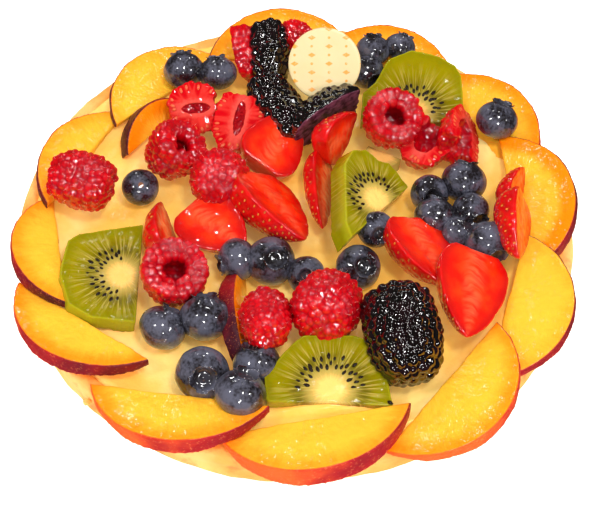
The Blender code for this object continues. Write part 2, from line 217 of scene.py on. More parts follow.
def pickFaces(piece, test):
    mesh = bmesh.from_edit_mesh(piece.data)
    for face in mesh.faces:
        face.select_set(test(face.calc_center_median(), face.normal))
    mesh.select_flush(True)
    bmesh.update_edit_mesh(piece.data)


def pickRim(piece):
    mesh = bmesh.from_edit_mesh(piece.data)
    for edge in mesh.edges:
        edge.select_set(edge.is_boundary)
    bmesh.update_edit_mesh(piece.data)


def tidyNormals(piece):
    edit(piece, True)
    bpy.ops.mesh.remove_doubles(threshold=0.001 * mm)
    bpy.ops.mesh.normals_make_consistent(inside=False)
    leaveEdit()


def applyModifier(piece, kind, **settings):
    onlySelect(piece)
    modifier = piece.modifiers.new(kind.lower(), kind)
    for key, value in settings.items():
        setattr(modifier, key, value)
    bpy.ops.object.modifier_apply(modifier=modifier.name)


def knead(piece, voxel, rounds):
    # even skin all over, with the sharp edges softened
    applyModifier(piece, "REMESH", mode="VOXEL", voxel_size=voxel * mm)
    applyModifier(piece, "SMOOTH", factor=0.5, iterations=rounds)


def roughen(piece, *lumps):
    # each kind of lump has a size and a height, in mm
    for size, height in lumps:
        clouds = bpy.data.textures.new(piece.name, "CLOUDS")
        clouds.noise_scale = size * mm
        clouds.noise_depth = 1
        applyModifier(piece, "DISPLACE", texture=clouds, strength=height * mm, mid_level=0.5)


def raiseRings(name, section, segments):
    # rings raised one on another from the underside's middle to the top's middle, in mm
    radius, height = section[0]
    piece = startPiece(name, bpy.ops.mesh.primitive_circle_add, vertices=segments,
                       radius=radius * mm, fill_type="TRIFAN", location=(0, 0, height * mm))
    bpy.ops.object.transform_apply(location=True, rotation=True, scale=True)
    edit(piece)
    pickRim(piece)
    for nextRadius, nextHeight in section[1:]:
        bpy.ops.mesh.extrude_region_move(
            TRANSFORM_OT_translate={"value": (0, 0, (nextHeight - height) * mm)})
        share = nextRadius / radius
        squeeze(share, share, 1)
        radius, height = nextRadius, nextHeight
    bpy.ops.mesh.extrude_region_move(TRANSFORM_OT_translate={"value": (0, 0, 0)})
    bpy.ops.mesh.merge(type="CENTER")
    leaveEdit()
    tidyNormals(piece)
    return piece


def points(piece):
    # every vertex, in mm
    flat = np.zeros(len(piece.data.vertices) * 3)
    piece.data.vertices.foreach_get("co", flat)
    return flat.reshape(-1, 3) / mm


def movePoints(piece, places):
    piece.data.vertices.foreach_set("co", (places * mm).ravel())
    piece.data.update()


def markNumber(piece, name, values):
    layer = piece.data.attributes.new(name, "FLOAT", "POINT")
    layer.data.foreach_set("value", np.broadcast_to(values, len(piece.data.vertices)).astype(np.float32))


def markPlace(piece, name, values):
    layer = piece.data.attributes.new(name, "FLOAT_VECTOR", "POINT")
    layer.data.foreach_set("vector", np.asarray(values, np.float32).ravel())


def turned(degrees, axis="Z"):
    return Matrix.Rotation(math.radians(degrees), 4, axis)


def turn(tilt, heading, spin=0.0):
    return turned(heading) @ turned(tilt, "Y") @ turned(spin)


def settle(piece, matrix):
    # moves a piece for good, so that its object stays at the origin
    piece.matrix_world = matrix
    onlySelect(piece)
    bpy.ops.object.transform_apply(location=True, rotation=True, scale=True)


def layDown(piece, rotation, x, y, rest):
    lowest = (points(piece) @ np.array(rotation.to_3x3()).T)[:, 2].min()
    matrix = Matrix.Translation((x * mm, y * mm, (rest - lowest) * mm)) @ rotation
    settle(piece, matrix)
    return matrix


def restHeight(x, y):
    return rimRest if math.hypot(x, y) > 82 else custardRest


def join(pieces, name):
    onlySelect(*pieces)
    bpy.ops.object.join()
    joined = bpy.context.object
    joined.name = name
    return joined


def scatter(piece, name, places):
    # one object made of many copies, and the first one is taken away
    copies = [anotherOf(piece, name, place) for place in places]
    bpy.data.objects.remove(piece)
    joined = join(copies, name)
    bpy.ops.object.transform_apply(location=True, rotation=True, scale=True)
    return joined


def anotherOf(piece, name, matrix):
    copy = piece.copy()
    copy.data = piece.data.copy()
    copy.name = name
    bpy.context.scene.collection.objects.link(copy)
    copy.matrix_world = matrix
    return copy


def present(piece, name, look, slotName, *nodes):
    # the finished piece: soft shading, its material, and the model's parts it replaces hidden
    piece.name = name
    piece.data.name = name
    piece.data.materials.clear()
    piece.data.materials.append(look)
    piece.data.shade_smooth()
    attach(piece, "root")
    if nodes:
        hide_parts(*nodes)
    served.append(piece)
    return piece


served = []
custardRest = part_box("custard")[1].z / mm + 0.3
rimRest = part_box("crust")[1].z / mm + 0.3
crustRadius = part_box("crust")[1].x / mm


# crust
crust = {
    "wall": 6,
    "floor": 5,
    "segments": 260,
    "lumps": ((9, 0.9), (1.6, 0.405)),
    "pale": (252, 198, 112),
    "gold": (238, 164, 68),
    "brown": (204, 108, 32),
}

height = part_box("crust")[1].z / mm
inner = crustRadius - crust["wall"]
section = [(crustRadius - 20, 0), (crustRadius - 4, 0), (crustRadius - 1.6, 0.3), (crustRadius - 0.5, 1.2)]
section += [(crustRadius - 0.2 - 0.2 * math.cos(z), z) for z in np.arange(2, height - 2, 0.8)]
for i in range(9):
    angle = math.pi * i / 8
    section.append((crustRadius - 3.3 + 2.9 * math.cos(angle), height - 2 + 1.9 * math.sin(angle)))
section += [(inner, z) for z in np.arange(height - 2.6, crust["floor"], -1.2)]
section += [(inner, crust["floor"]), (inner - 15, crust["floor"])]
shell = raiseRings("crust", section, crust["segments"])
roughen(shell, *crust["lumps"])
spots = points(shell)
spots[:, 2] = np.maximum(spots[:, 2], 0)
movePoints(shell, spots)

look, start, shader = startLook("shortcrust", {"Roughness": 0.62, "Subsurface Weight": 0.12,
                                               "Subsurface Scale": 0.003})
here = start.here()
patches = start.noise(here, 55.0, 3.0)
grain = start.noise(here, 900.0, 3.0)
baked = start.noise(here, 160.0, 4.0).ramp(0.52, 0.74)
base = patches.ramp(0.35, 0.65).mix(crust["pale"], crust["gold"])
feed(shader, "Base Color", (baked * 0.6).mix(base, crust["brown"]))
feedBump(shader, grain + patches, 0.5, 0.5)
crustLook = look
present(shell, "crustShell", crustLook, "crust", "crust")
print("crust ready")


# nectarine slices, with the skin outwards and the flat cut face down
nectarine = {
    "voxel": 0.55,
    "ringLumps": ((10, 0.9), (2.2, 0.3)),
    "sliverLumps": ((7, 0.8),),
    "flesh": (254, 188, 54),
    "deep": (248, 134, 10),
    "skins": {"salmon": (236, 88, 16), "crimson": (164, 10, 20), "plum": (68, 6, 28)},
    # name: middle of the inner edge, way the skin faces, chord, depth, wedge, pitch, ripeness, plum
    "ring": {
        "nectarine_02": (35, 69, 76, 56, 22, 15, 3, 0.45, 0.7),
        "nectarine_01": (-4, 75, 92, 60, 24, 15, 5, 0.40, 0.6),
        "nectarine_12": (-48, 58.5, 135, 55, 20, 15, 5, 0.15, 0.5),
        "nectarine_11": (-77, 25, 153, 54, 16, 14, 4, 0.25, 0.6),
        "nectarine_10": (-83, -17, 191, 52, 17, 15, 5, 0.35, 0.55),
        "nectarine_09": (-72, -48, 233, 60, 19, 12, 5, 0.45, 0.5),
        "nectarine_03": (67, 39, 30, 58, 24, 16, 3, 0.55, 0.7),
        "nectarine_04": (78, 3, 5, 60, 23, 19, 5, 0.95, 1.0),
        "nectarine_05": (72, -41, -17, 60, 23, 11, 5, 0.10, 0.8),
        "nectarine_06": (48, -73, -40, 61, 24, 11, 5, 0.40, 0.12),
        "nectarine_07": (6, -87, -82, 63, 22, 15, 5, 0.30, 0.24),
        "nectarine_08": (-38, -78, -102, 61, 20, 12, 6, 0.40, 0.22),
    },
    # name: chord, depth, wedge, heading, roll, x, y, ripeness, plum
    "slivers": {
        "nectarine_13": (34, 10, 32, 52, 20, -54, 42, 0.85, 0.9),
        "nectarine_14": (46, 13, 14, 94, 55, -19, -46, 0.80, 0.80),
    },
}


def cutSlice(name, chord, depth, wedge):
    # a half-moon cut from a disc, then spun about the fruit's middle into a wedge
    radius = (chord * chord / 4 + depth * depth) / (2 * depth)
    core = radius - depth
    piece = startPiece(name, bpy.ops.mesh.primitive_circle_add, vertices=180,
                       radius=radius * mm, fill_type="NGON")
    edit(piece, True)
    bpy.ops.mesh.bisect(plane_co=(0, core * mm, 0), plane_no=(0, 1, 0), clear_inner=True)
    bpy.ops.mesh.select_all(action="SELECT")
    bpy.ops.mesh.spin(steps=8, angle=math.radians(wedge), center=(0, 0, 0), axis=(-1, 0, 0))
    leaveEdit()
    tidyNormals(piece)
    knead(piece, nectarine["voxel"], 3)
    spots = points(piece)
    reach = np.linalg.norm(spots, axis=1)
    markNumber(piece, "underSkin", radius - reach)
    around = np.arctan2(spots[:, 0], spots[:, 1]) * 30
    rise = np.degrees(np.arctan2(spots[:, 2], spots[:, 1])) * 0.5
    grain = np.stack([around, reach, rise], axis=1) + [chance.uniform(0, 900), 0, 0]
    markPlace(piece, "grain", grain)
    markNumber(piece, "along", spots[:, 0] / chord * 2)
    edit(piece, True)
    bpy.ops.transform.translate(value=(0, -core * mm, 0))
    leaveEdit()
    return piece


look, start, shader = startLook("nectarineFlesh", {"IOR": 1.42, "Specular IOR Level": 0.35,
                                                   "Subsurface Weight": 0.25,
                                                   "Subsurface Scale": 0.004})
under = start.number("underSkin")
grain = start.place("grain")
ripe = start.number("ripe")
fibres = start.noise(start.stretch(grain, (0.7, 0.10, 0.7)), 1.0, 3.0)
mottle = start.noise(grain, 0.16, 2.0)
margin = 1 - under.ramp(0.4, 9.5)
orange = margin * (0.30 + ripe * 1.1) + ripe * 0.22 + (mottle - 0.5) * 0.5 + (fibres - 0.5) * 0.35
flesh = orange.ramp(-0.05, 1.15).mix(nectarine["flesh"], nectarine["deep"])
threads = start.noise(start.stretch(grain, (2.6, 0.35, 2.6)), 1.0, 2.0)
flesh = (threads.ramp(0.62, 0.78) * 0.22).mix(flesh, (232, 142, 40))
flecks = start.noise(start.stretch(grain, (1.4, 1.0, 1.4)), 1.0, 2.0)
tone = start.number("plum") + (start.noise(grain, 0.11, 2.0) - 0.5) * 0.8 - start.number("along") * 0.42
skinTone = tone.node("ValToRGB", {"stops": [(0.0, nectarine["skins"]["salmon"]),
                                            (0.38, nectarine["skins"]["crimson"]),
                                            (1.0, nectarine["skins"]["plum"])]}, {0: tone})
skin = (flecks.ramp(0.58, 0.70) * 0.3).mix(skinTone, (246, 138, 80))
isSkin = 1 - under.ramp(0.22, 0.75)
feed(shader, "Base Color", isSkin.mix(flesh, skin))
feed(shader, "Roughness", isSkin * 0.34 + 0.11)
gloss = start.noise(grain, 0.32, 2.0)
feedBump(shader, gloss + fibres * 0.1, 0.6, 0.5)
nectarineLook = look


def markSlice(piece, ripeness, plumShare):
    markNumber(piece, "ripe", ripeness)
    markNumber(piece, "plum", plumShare)


for name, (x, y, facing, chord, depth, wedge, pitch, ripeness, plumShare) in nectarine["ring"].items():
    piece = cutSlice(name, chord, depth, wedge)
    markSlice(piece, ripeness, plumShare)
    layDown(piece, turned(facing - 90) @ turned(pitch, "Y"), x, y, rimRest)
    roughen(piece, *nectarine["ringLumps"])
    present(piece, name.replace("nectarine_", "nectarineSlice"), nectarineLook, "nectarine", name)
for name, (chord, depth, wedge, heading, roll, x, y, ripeness, plumShare) in nectarine["slivers"].items():
    piece = cutSlice(name, chord, depth, wedge)
    markSlice(piece, ripeness, plumShare)
    layDown(piece, turned(heading) @ turned(roll, "X"), x, y, custardRest)
    roughen(piece, *nectarine["sliverLumps"])
    present(piece, name.replace("nectarine_", "nectarineSliver"), nectarineLook, "nectarine", name)
print("nectarine ready")


# blueberries: a flattened ball, a dished crown and its flaps
blueberry = {
    "segments": 50,
    "flat": 0.88,
    "lumps": ((5, 0.45), (1.4, 0.12)),
    "skin": (24, 21, 26),
    "bloom": (88, 91, 109),
    # cluster: berries, each with x, y, radius, crown tilt, crown heading, lift
    "clusters": {
        "blueberries_01": ((-42.4, 63, 7.9, 60, 100, 4), (-29.5, 62.5, 7.4, 40, 100, 4)),
        "blueberries_03": ((-56, 9, 6.7, 148, 107, 0),),
        "blueberries_04": ((30, 73, 6.8, 30, 90, 6), (27.5, 64, 6.8, 90, -60, 3),
                           (40.5, 74, 6.2, 60, 60, 6)),
        "blueberries_07": ((74.5, 36, 7.9, 35, 60, 5),),
        "blueberries_08": ((60.5, 9.5, 8.4, 50, 80, 1), (62, -3, 7.2, 80, -60, 0),
                           (49.5, -5, 7.6, 60, 80, 0), (48, 5, 7.0, 55, -80, 1),
                           (57.5, -12, 6.8, 40, 0, 0), (67, -17.5, 8.3, 90, -70, 0)),
        "blueberries_15": ((21.5, -27.5, 8.0, 35, -60, 0),),
        "blueberries_16": ((-8.6, -25, 8.7, 30, -60, 0), (3.6, -30, 6.8, 45, -90, 0),
                           (-20.2, -24, 7.6, 90, 200, 0)),
        "blueberries_19": ((-44.6, -52.6, 8.1, 55, 50, 0), (-30.5, -49, 8.9, 45, 90, 0)),
        "blueberries_21": ((-30.6, -71, 9.0, 48, -80, 0), (-18, -79.5, 8.6, 35, 60, 2),
                           (-13, -66.5, 8.0, 30, 100, 0)),
        "blueberries_14": ((28, -14, 6.6, 60, -80, 5),),
    },
}

flat = blueberry["flat"]
outline = []
for latitude in list(range(-86, 58, 8)):
    angle = math.radians(latitude)
    outline.append((10 * math.cos(angle), 10 * flat * math.sin(angle)))
outline += [(5.3, 7.45), (4.9, 7.75), (4.8, 8.1), (4.95, 8.5), (4.5, 8.55), (4.0, 7.9), (3.5, 7.0),
            (2.6, 6.5), (1.2, 6.6), (0.5, 6.9)]
berry = raiseRings("blueberry", outline, blueberry["segments"])
edit(berry)
pickFaces(berry, lambda middle, normal: middle.z > 8.5 * mm
          and math.degrees(math.atan2(middle.y, middle.x)) % 72 < 50)
bpy.ops.mesh.extrude_region_move(TRANSFORM_OT_translate={"value": (0, 0, 0.45 * mm)})
squeeze(1.14, 1.14, 1)
pickFaces(berry, lambda middle, normal: middle.z > 8.8 * mm and normal.z > 0.3
          and 12 < math.degrees(math.atan2(middle.y, middle.x)) % 72 < 38)
bpy.ops.transform.translate(value=(0, 0, 0.45 * mm))
leaveEdit()
applyModifier(berry, "SUBSURF", levels=1, render_levels=1)
spots = points(berry)
markPlace(berry, "own", spots)
# the crown's dished middle is painted darker: painted shade in the recess, together with the calyx's own
# brownish inside
crownBowlShade = np.clip((4.4 - np.hypot(spots[:, 0], spots[:, 1])) / 1.2, 0, 1) * (spots[:, 2] > 6.4)
markNumber(berry, "crown", crownBowlShade)

look, start, shader = startLook("blueberrySkin", {"IOR": 1.42, "Specular IOR Level": 0.15,
                                                  "Coat Weight": 0.9, "Coat IOR": 1.7,
                                                  "Coat Roughness": 0.07})
own = start.place("own")
crown = start.number("crown")
apart = start.number("apart")
shift = start.vector(apart * 40, apart * 23, apart * 11)
shifted = start.node("VectorMath", {"operation": "ADD"}, {0: own, 1: shift})
cloudy = start.noise(shifted, 0.13, 3.0)
fine = start.noise(shifted, 0.9, 4.0)
streaky = start.noise(start.stretch(shifted, (0.5, 0.5, 0.16)), 1.0, 2.0)
bloomy = (cloudy + (fine - 0.5) * 0.5 + (streaky - 0.5) * 0.25).ramp(0.32, 0.68)
skin = (bloomy * 0.9).mix(blueberry["skin"], blueberry["bloom"])
scar = 1 - start.part(own, 2).ramp(-8.72, -8.62)
scarred = scar.mix(skin, (128, 84, 58))
# painted shade: the crown's dished middle is darkened towards (20, 15, 15)
feed(shader, "Base Color", (crown * 0.65).mix(scarred, (20, 15, 15)))
feed(shader, "Roughness", bloomy * 0.2 + 0.3)
feedBump(shader, fine + cloudy * 0.8, 0.25, 0.2)
blueberryLook = look

count = 0
for node, berries in blueberry["clusters"].items():
    for x, y, radius, tilt, heading, lift in berries:
        count += 1
        piece = anotherOf(berry, f"blueberry{count:02d}", Matrix.Scale(radius / 10, 4))
        settle(piece, Matrix.Scale(radius / 10, 4))
        markNumber(piece, "apart", chance.random())
        layDown(piece, turn(tilt, heading, chance.uniform(0, 72)), x, y, restHeight(x, y) + lift)
        roughen(piece, *blueberry["lumps"])
        present(piece, f"blueberry{count:02d}", blueberryLook, "blueberry", node)
bpy.data.objects.remove(berry)
print("blueberries ready")


# kiwi: the peel was cut off with straight strokes
kiwi = {
    "voxel": 0.42,
    "lumps": ((4, 0.5), (1.8, 0.2)),
    "flesh": (120, 110, 4),
    "outer": (146, 136, 2),
    "ray": (190, 172, 84),
    "core": (255, 202, 112),
    "seedLength": 2.3,
    "seedsPerSlice": 30,
    "seedRings": (7.6, 10.2, 8.8, 11.3),
    # name: thickness, flare, tilt, heading, spin, x, y, lift and the corners round the core's middle
    "slices": {
        "kiwi_02": (7, 1.0, 22, -90, 0, 44.5, 47, 0, (
            (4, 19), (-15, 18.5), (-19, 16.5), (-23, 10), (-25.5, 0),
            (-22, -9), (-12.5, -14), (-8, -19), (4, -20))),
        "kiwi_05": (5, 1.0, 15, 60, 0, 31, 24, 0, (
            (3, 7), (-3, 6), (-6, 0), (-3, -6), (3, -7))),
        "kiwi_03": (8, 1.1, 30, 0, -41, 24.5, -3, 0, (
            (3, 18), (-8, 19), (-11, 15.5), (-17, 14), (-19.5, 8), (-17, 0), (0, -20), (5.5, -23))),
        "kiwi_04": (7, 1.02, 14, -90, 0, 11, -76, 1, (
            (5.5, 20), (-4, 18.5), (-16, 14), (-18.5, 8), (-19, -1),
            (-18.5, -9), (-15, -13), (-4.5, -21.5), (4, -20.5))),
        "kiwi_01": (6, 1.03, 10, 0, 0, -61, -30, 0, (
            (6, 23), (-16, 16), (-19.5, 12.5), (-20.5, 5), (-21, -2), (-17, -14), (-9, -18.5), (6, -19))),
    },
}

look, start, shader = startLook("kiwiFlesh", {"Roughness": 0.09, "IOR": 1.42,
                                              "Specular IOR Level": 0.35,
                                              "Subsurface Weight": 0.2,
                                              "Subsurface Scale": 0.003})
own = start.place("own")
across = start.part(own, 0)
along = start.part(own, 1)
reach = start.node("VectorMath", {"operation": "LENGTH"}, {0: start.stretch(own, (1, 0.93, 0))}, 1)
angle = start.maths("ARCTAN2", along, across * -1)
spoke = start.vector(angle * 7.5, reach * 0.05, 0.0)
rays = start.noise(spoke, 1.6, 2.0)
fineRays = start.noise(start.vector(angle * 26, reach * 0.1, 0.0), 1.0, 2.0)
ragged = reach + (rays - 0.5) * 3.2
lobes = start.noise(start.vector(angle * 5, reach * 0.12, 0.0), 1.0, 2.0)
body = (reach.ramp(10.5, 18) * 0.7 + (lobes - 0.5) * 0.9).mix(kiwi["flesh"], kiwi["outer"])
rayed = ((rays * 0.5 + fineRays * 0.6).ramp(0.50, 0.72) * (1 - reach.ramp(10.0, 22.0)) * 0.9).mix(
    body, kiwi["ray"])
locule = (ragged.ramp(4.5, 7.0) * (1 - ragged.ramp(10.5, 13.0)) * (1 - rays.ramp(0.45, 0.6))) * 0.7
darker = locule.mix(rayed, (92, 82, 20))
rim = start.number("fromRim")
outside = reach.ramp(9.5, 14.0)
darker = ((1 - rim.ramp(0.5, 4.5)) * outside * 0.5).mix(darker, (118, 118, 2))
# painted highlight: a pale band along the cut outline, where the edge catches the light
darker = ((1 - rim.ramp(0.1, 0.9)) * outside * 0.6).mix(darker, (172, 172, 30))
halo = (1 - ragged.ramp(4.8, 10.0)).mix(darker, (190, 166, 84))
isCore = 1 - ragged.ramp(3.0, 6.0)
feed(shader, "Base Color", isCore.mix(halo, kiwi["core"]))
feedBump(shader, start.noise(own, 0.6, 2.0) + rays * 0.3 + fineRays * 0.2, 0.5, 0.3)
kiwiLook = look


def fromRim(spots, corners):
    # how far each vertex lies from the cut outline
    nearest = np.full(len(spots), 99.0)
    for a, b in zip(np.array(corners, float), np.roll(np.array(corners, float), -1, axis=0)):
        share = np.clip(((spots[:, :2] - a) @ (b - a)) / ((b - a) @ (b - a)), 0, 1)
        gap = np.linalg.norm(spots[:, :2] - a - share[:, None] * (b - a), axis=1)
        nearest = np.minimum(nearest, gap)
    return nearest


seedsOfKiwi = []
seed = startPiece("kiwiSeed", bpy.ops.mesh.primitive_uv_sphere_add, segments=10, ring_count=8, radius=1 * mm)
edit(seed)
pickFaces(seed, lambda middle, normal: normal.x > 0.35)
squeeze(1, 0.55, 0.55)
leaveEdit()
for name, (thickness, flare, tilt, heading, spin, x, y, lift, corners) in kiwi["slices"].items():
    piece = startPiece(name, bpy.ops.mesh.primitive_circle_add, vertices=len(corners),
                       radius=10 * mm, fill_type="NGON")
    edit(piece)
    for i, (cornerX, cornerY) in enumerate(corners):
        mesh = bmesh.from_edit_mesh(piece.data)
        mesh.verts.ensure_lookup_table()
        for vertex in mesh.verts:
            vertex.select_set(vertex.index == i)
        was = mesh.verts[i].co.copy()
        bmesh.update_edit_mesh(piece.data)
        bpy.ops.transform.translate(value=Vector((cornerX * flare * mm, cornerY * flare * mm, 0)) - was)
    bpy.ops.mesh.select_all(action="SELECT")
    bpy.ops.mesh.extrude_region_move(TRANSFORM_OT_translate={"value": (0, 0, thickness * mm)})
    squeeze(1 / flare, 1 / flare, 1)
    leaveEdit()
    tidyNormals(piece)
    knead(piece, kiwi["voxel"], 4)
    markPlace(piece, "own", points(piece))
    markNumber(piece, "fromRim", fromRim(points(piece), corners))
    matrix = layDown(piece, turn(tilt, heading, spin), x, y, restHeight(x, y) + lift)
    roughen(piece, *kiwi["lumps"])
    present(piece, name.replace("kiwi_", "kiwiSlice"), kiwiLook, "kiwi", name)
    if name == "kiwi_05":
        continue
    for i in range(kiwi["seedsPerSlice"]):
        bearing = 94 + i * 5.9 + chance.uniform(-2, 2)
        out = kiwi["seedRings"][i % 4] + chance.uniform(-0.6, 0.6)
        spot = turned(bearing) @ Vector((out, 0, 0))
        spot.z = thickness - 0.05
        length = kiwi["seedLength"] / 2 * chance.uniform(0.8, 1.1)
        lying = (Matrix.Translation(spot * mm) @ turned(bearing)
                 @ Matrix.Diagonal((length, length * 0.52, length * 0.34, 1)))
        seedsOfKiwi.append(matrix @ lying)
    if name == "kiwi_04":
        # one seed has come loose at the front corner
        seedsOfKiwi.append(matrix @ Matrix.Translation(Vector((4.6, 19.2, thickness + 0.2)) * mm)
                           @ Matrix.Rotation(1.1, 4, "Z") @ Matrix.Diagonal((1.1, 0.7, 0.5, 1)))
seeds = scatter(seed, "kiwiSeeds", seedsOfKiwi)
look, start, shader = startLook("kiwiSeed", {"Roughness": 0.3, "Specular IOR Level": 0.25})
speck = start.noise(start.here(), 1800.0, 2.0)
feed(shader, "Base Color", speck.mix((12, 8, 4), (40, 27, 12)))
present(seeds, "kiwiSeeds", look, "kiwi")
print("kiwi ready")


# raspberries and brambles: drupelets packed row on row round the berry's outline
drupes = {
    "lumps": ((3.5, 0.35), (1.3, 0.14)),
    # crease is painted shade for the creases between drupelets
    "red": {"shaded": (172, 1, 12), "bright": (206, 2, 14), "crease": (120, 1, 18),
            "cut": (196, 8, 20), "wall": (236, 78, 66), "core": (240, 116, 102)},
    "black": {"shaded": (6, 4, 5), "bright": (24, 8, 14), "cut": (46, 16, 32), "wall": (118, 66, 88)},
    "raspberry": {"drupelet": 3.1, "broad": 0.63, "reach": 3.0, "bulge": 0.6, "voxel": 0.36,
                  "soften": 3, "hole": 0.16},
    "bramble": {"drupelet": 3.9, "broad": 0.58, "reach": 2.6, "bulge": 1.0, "voxel": 0.40,
                "soften": 1, "hole": 0.0},
    # name: width, height, cut in half?, tilt, heading, spin, x, y, lift, open end shows?
    "raspberries": {
        "raspberry_14": (16, 15, False, 150, 80, 0, 0, 79, 3, False),
        "raspberry_13": (18, 21, True, 75, 95, 60, -20, 71, 3, True),
        "raspberry_12": (21, 21, True, 80, -100, 125, 63, 31.5, 2, True),
        "raspberry_11": (21, 22, True, 80, 60, 175, 48, 28, 1, True),
        "raspberry_10": (22, 18, False, 28, -60, 0, 35, 36, 2, True),
        "raspberry_09": (24, 23, False, 120, 70, 0, 10, -48.5, 0, False),
        "raspberry_08": (18, 25, False, 120, 95, 0, -10, -52, 0, False),
        "raspberry_07": (23, 17, False, 15, -40, 0, -42, -33, 0, True),
        "raspberry_05": (20, 24, True, 75, 80, 180, -21, 36, 2, False),
        "raspberry_04": (20, 18, True, 90, 5, 215, -38, 42, 3, False),
        "raspberry_03": (22, 21, False, 150, 80, 0, -27, 7.5, 1, False),
        "raspberry_02": (21, 18, False, 38, 0, 0, -45, 22, 1, True),
        "raspberry_01": (21, 23, False, 95, -15, 0, -76, 6, 4, False),
    },
    "brambles": {
        "bramble_01": (17, 25, False, 70, 95, 0, -10, 70, 4, False),
        "bramble_02": (18, 29, False, 85, 120, 0, -6, 44, 1, False),
        "bramble_03": (22, 29, True, 85, 35, 280, 12, 37, 1, False),
        "bramble_04": (26, 33, False, 80, 100, 0, 35, -59.5, 0, False),
    },
}


def berryOutline(width, tall, hole):
    # from the closed tip at the bottom up to the open end, then in to the hole
    outline = []
    spread = 0.60 if hole > 0 else 0.76
    for i in range(61):
        t = i / 60
        swell = math.sin(math.pi * (0.06 + spread * t)) ** 0.75 * min(1.0, (t / 0.1) ** 0.5)
        outline.append((width / 2 * swell, -tall / 2 + tall * (1 - math.cos(math.pi * t * 0.92)) / 2))
    edge, top = outline[-1]
    inside = max(hole * width, 0.01)
    for i in range(1, 13):
        outline.append((edge + (inside - edge) * i / 12, top - 0.4 * (i / 12) ** 2))
    return outline


def packDrupelets(name, kind, width, tall, openEnd):
    size = kind["drupelet"]
    hole = kind["hole"] if openEnd else 0.0
    outline = berryOutline(width, tall, hole)
    walked = [0.0]
    for (r0, z0), (r1, z1) in zip(outline, outline[1:]):
        walked.append(walked[-1] + math.hypot(r1 - r0, z1 - z0))
    rows = max(4, round((walked[-1] - size * 0.5 * openEnd) / (size * 0.84)))
    drop = startPiece("drupelet", bpy.ops.mesh.primitive_uv_sphere_add, segments=14,
                      ring_count=10, radius=mm)
    drops = []
    tips = []
    shift = 0.0
    for row in range(rows + 1):
        target = (walked[-1] - size * 0.5 * openEnd) * row / rows
        k = min(max(1, int(np.searchsorted(walked, target))), len(outline) - 1)
        part = (target - walked[k - 1]) / max(walked[k] - walked[k - 1], 1e-6)
        radius = outline[k - 1][0] + (outline[k][0] - outline[k - 1][0]) * part
        level = outline[k - 1][1] + (outline[k][1] - outline[k - 1][1]) * part
        r0, z0 = outline[max(k - 2, 0)]
        r1, z1 = outline[min(k + 1, len(outline) - 1)]
        out = Vector((z1 - z0, 0, r0 - r1)).normalized()
        if radius < size * 0.3:
            out = Vector((0, 0, -1 if row == 0 else 1))
        total = max(1, round(math.tau * radius / (size * 0.94)))
        shift += 0.5
        for i in range(total):
            swing = Matrix.Rotation(math.tau * (i + shift + chance.uniform(-0.22, 0.22)) / total, 4, "Z")
            grown = size * chance.uniform(0.86, 1.20) * kind["broad"]
            normal = swing @ out
            astray = Vector((0, 0, chance.uniform(-0.5, 0.5)))
            tip = swing @ Vector((radius, 0, level)) + astray + normal * chance.uniform(-0.45, 0.3)
            middle = tip - normal * (kind["reach"] - kind["bulge"] * 0.5)
            facing = normal.to_track_quat("Z", "Y").to_matrix().to_4x4()
            shape = Matrix.Diagonal((grown, grown * 0.97, kind["reach"], 1))
            drops.append(Matrix.Translation(middle * mm) @ facing @ shape)
            tips.append(tip)
    if not openEnd:
        drops.append(Matrix.Diagonal((width * 0.36, width * 0.36, tall * 0.40, 1)))
    return scatter(drop, name, drops), tips


def finishDrupelets(piece, kind, tips, halved, width, tall):
    knead(piece, kind["voxel"], kind["soften"])
    # the hollow that the stalk leaves: half width, half length, middle
    coreWide, coreLong, coreMiddle = width * 0.17, tall * 0.36, tall * 0.10
    if halved:
        coreWide, coreLong, coreMiddle = width * 0.11, tall * 0.31, tall * 0.06
    if halved:
        block = startPiece("block", bpy.ops.mesh.primitive_cube_add, size=60 * mm, location=(30 * mm, 0, 0))
        tools = [block]
        if kind["hole"] > 0:
            plug = startPiece("plug", bpy.ops.mesh.primitive_uv_sphere_add, segments=32,
                              ring_count=20, radius=mm)
            settle(plug, Matrix.Translation((0, 0, coreMiddle * mm))
                   @ Matrix.Diagonal((coreWide * 0.5, coreWide, coreLong, 1)))
            roughen(plug, (1.2, 0.8))
            tools.append(plug)
        for tool in tools:
            applyModifier(piece, "BOOLEAN", operation="DIFFERENCE", solver="EXACT", object=tool)
            bpy.data.objects.remove(tool)
            knead(piece, kind["voxel"], 1)
    tree = KDTree(len(tips))
    for i, tip in enumerate(tips):
        tree.insert(tip, i)
    tree.balance()
    spots = points(piece)
    crease = []
    for spot in spots:
        near = tree.find_n(spot, 2)
        crease.append(1 - min(1.0, (near[1][2] - near[0][2]) / (kind["drupelet"] * 0.5)))
    markNumber(piece, "crease", np.array(crease))
    around = np.hypot(spots[:, 0], spots[:, 1]) / coreWide
    markNumber(piece, "core", np.hypot(around, (spots[:, 2] - coreMiddle) / coreLong))
    markPlace(piece, "own", spots)
    cut = (spots[:, 0] > -0.25) * 1.0 if halved else 0.0
    markNumber(piece, "cutFace", cut)


look, start, shader = startLook("raspberryFlesh", {"Roughness": 0.34, "IOR": 1.42,
                                                   "Specular IOR Level": 0.0,
                                                   "Coat IOR": 2.0, "Coat Roughness": 0.03,
                                                   "Subsurface Weight": 0.25,
                                                   "Subsurface Radius": (1.0, 0.08, 0.1),
                                                   "Subsurface Scale": 0.0018})
own = start.place("own")
crease = start.number("crease")
fine = start.noise(own, 0.9, 3.0)
wide = start.noise(own, 0.14, 2.0)
red = drupes["red"]
body = (wide + (fine - 0.5) * 0.3).ramp(0.32, 0.68).mix(red["shaded"], red["bright"])
